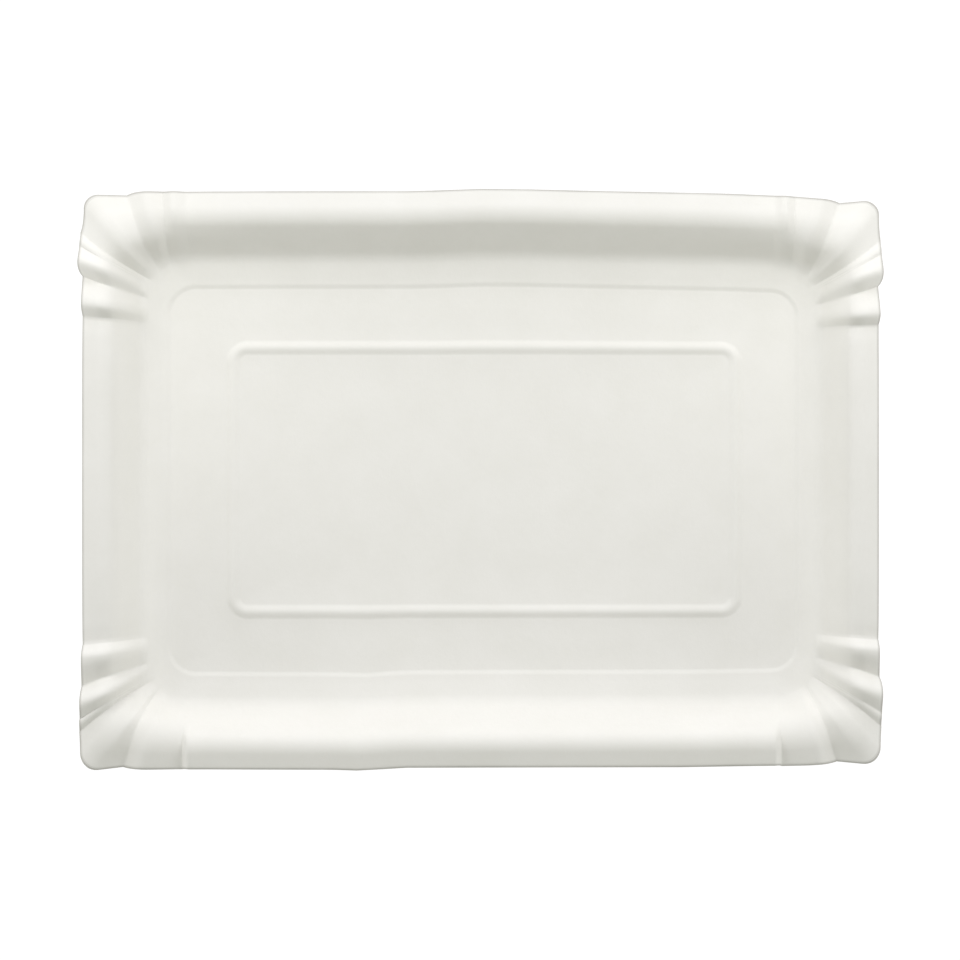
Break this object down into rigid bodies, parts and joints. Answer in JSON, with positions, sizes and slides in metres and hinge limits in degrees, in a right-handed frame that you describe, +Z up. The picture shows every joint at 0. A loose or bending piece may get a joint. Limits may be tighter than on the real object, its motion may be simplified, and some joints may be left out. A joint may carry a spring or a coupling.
{
  "type": "rectangular paperboard serving tray",
  "caption": "Shallow rectangular serving tray pressed from white paperboard, with sloping walls, a turned-down rim, fluted corners and a raised bead in its floor.",
  "frame": {"origin": "middle of the underside, on the surface the tray rests on", "axes": "+X along the long sides, +Y along the short sides, +Z up out of the tray"},
  "size_m": [0.2816, 0.2026, 0.0194],
  "materials": {
    "board": "matte white pressed paperboard"
  },
  "bodies": {
    "root": {"tray": "board"}
  },
  "joints": []
}
